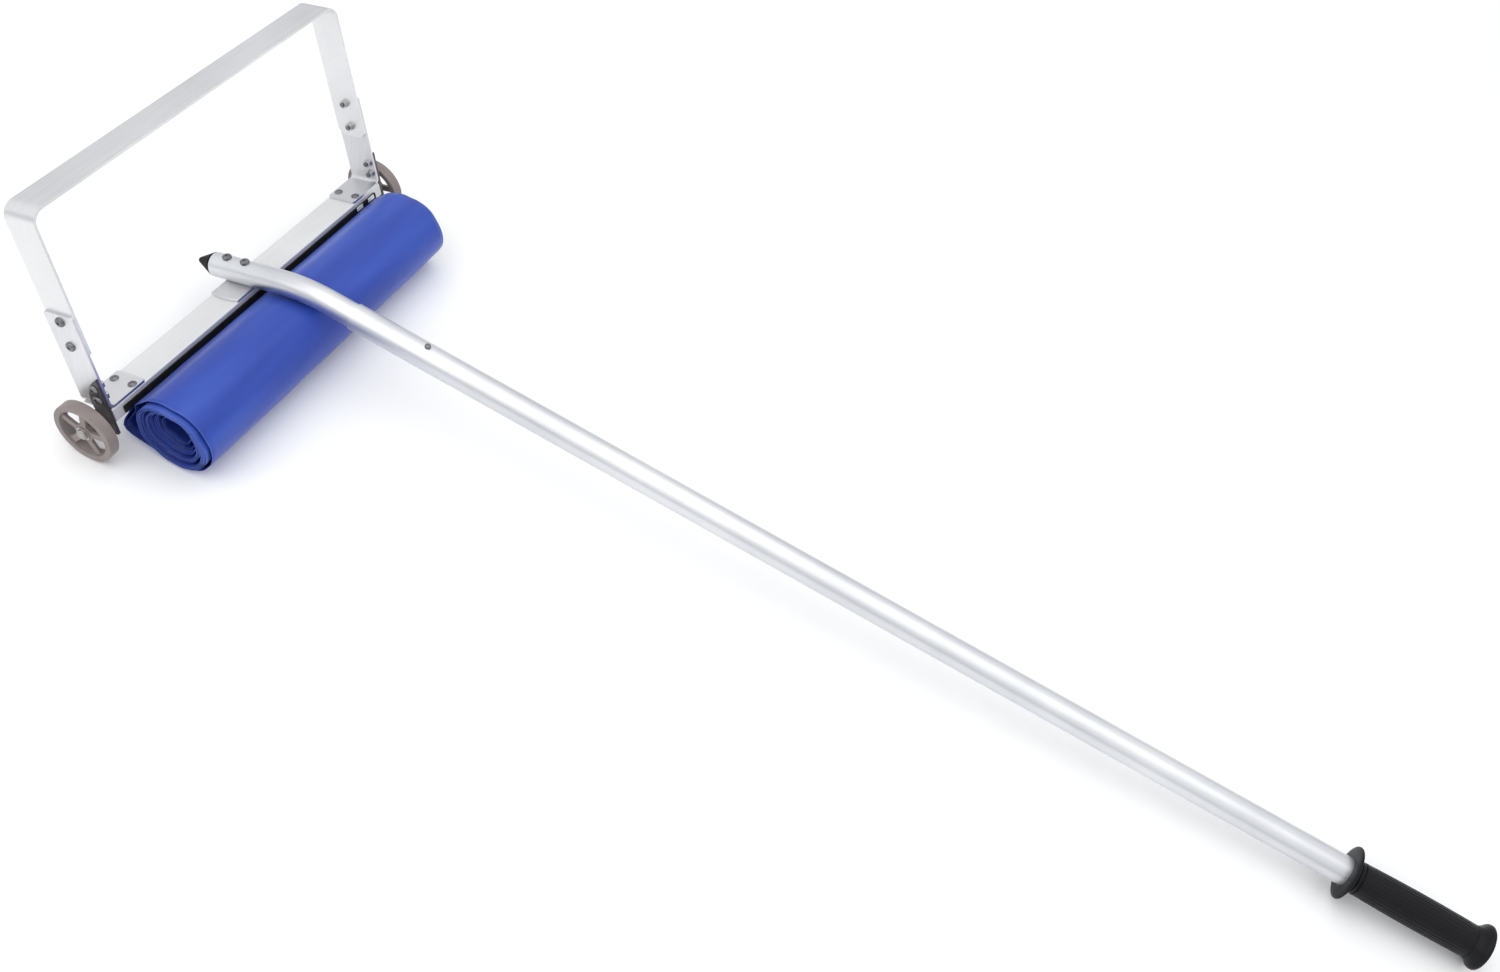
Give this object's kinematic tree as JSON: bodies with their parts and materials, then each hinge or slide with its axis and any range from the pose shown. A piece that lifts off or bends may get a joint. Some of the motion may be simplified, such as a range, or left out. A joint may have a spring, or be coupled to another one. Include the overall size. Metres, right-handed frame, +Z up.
{
  "type": "roof snow rake",
  "caption": "Long-poled roof snow rake: an open U-shaped cutter frame on small wheels, with a rolled blue slide sheet behind its bar and a black hand grip.",
  "frame": {"origin": "middle of the length and width, on the floor that the wheels, the sheet roll and the grip rest on", "axes": "+X across the head to the right, +Y along the floor from the grip to the cutter frame, +Z up"},
  "size_m": [0.4672, 1.4146, 0.2584],
  "materials": {
    "frame_aluminium": "smooth bright rolled strip",
    "bracket_aluminium": "smooth bright rolled strip",
    "bar_aluminium": "smooth bright rolled angle",
    "tube_aluminium": "satin anodised tube",
    "dark_steel": "graphite satin",
    "dark_screws": "dull dark zinc plate",
    "zinc": "bright zinc plate",
    "axle_steel": "polished steel",
    "spring_steel": "blued spring strip",
    "wheel_grey": "warm grey moulded plastic",
    "black_rubber": "satin black soft plastic",
    "blue_sheet": "smooth coated royal blue cloth",
    "black_webbing": "black woven edging"
  },
  "bodies": {
    "rake": {"cutter_frame": "frame_aluminium", "left_side_bracket": "bracket_aluminium", "right_side_bracket": "bracket_aluminium", "base_bar": "bar_aluminium", "leg_bolts": "dark_screws", "leg_nuts": "zinc", "bar_rivets": "dark_screws", "left_axle_plate": "dark_steel", "right_axle_plate": "dark_steel", "plate_bolts": "dark_screws", "plate_nuts": "zinc", "left_axle": "axle_steel", "right_axle": "axle_steel", "axle_spacers": "axle_steel", "axle_washers": "zinc", "axle_nuts": "zinc", "pole_saddle": "bracket_aluminium", "saddle_bolts": "dark_screws", "saddle_nuts": "zinc", "head_tube": "tube_aluminium", "nose_plug": "black_rubber", "pole_tube": "tube_aluminium", "button_spring": "spring_steel", "grip": "black_rubber", "hem_strip": "black_webbing", "hem_clips": "bar_aluminium", "slide_sheet": "blue_sheet"},
    "left_wheel_body": {"left_wheel": "wheel_grey"},
    "right_wheel_body": {"right_wheel": "wheel_grey"},
    "button_body": {"snap_button": "zinc"}
  },
  "joints": [
    {"name": "left_wheel_spin", "type": "hinge", "parent": "rake", "child": "left_wheel_body", "pos_m": [-0.2265, 0.63637, 0.032], "axis": [1, 0, 0], "continuous": true},
    {"name": "right_wheel_spin", "type": "hinge", "parent": "rake", "child": "right_wheel_body", "pos_m": [0.2265, 0.63637, 0.032], "axis": [1, 0, 0], "continuous": true},
    {"name": "button_press", "type": "slide", "parent": "rake", "child": "button_body", "axis": [0, 0.0518, -0.9987], "range_m": [0, 0.0045], "stiffness_N_per_m": 900, "springref_m": -0.002, "deforming": ["button_spring"]}
  ]
}
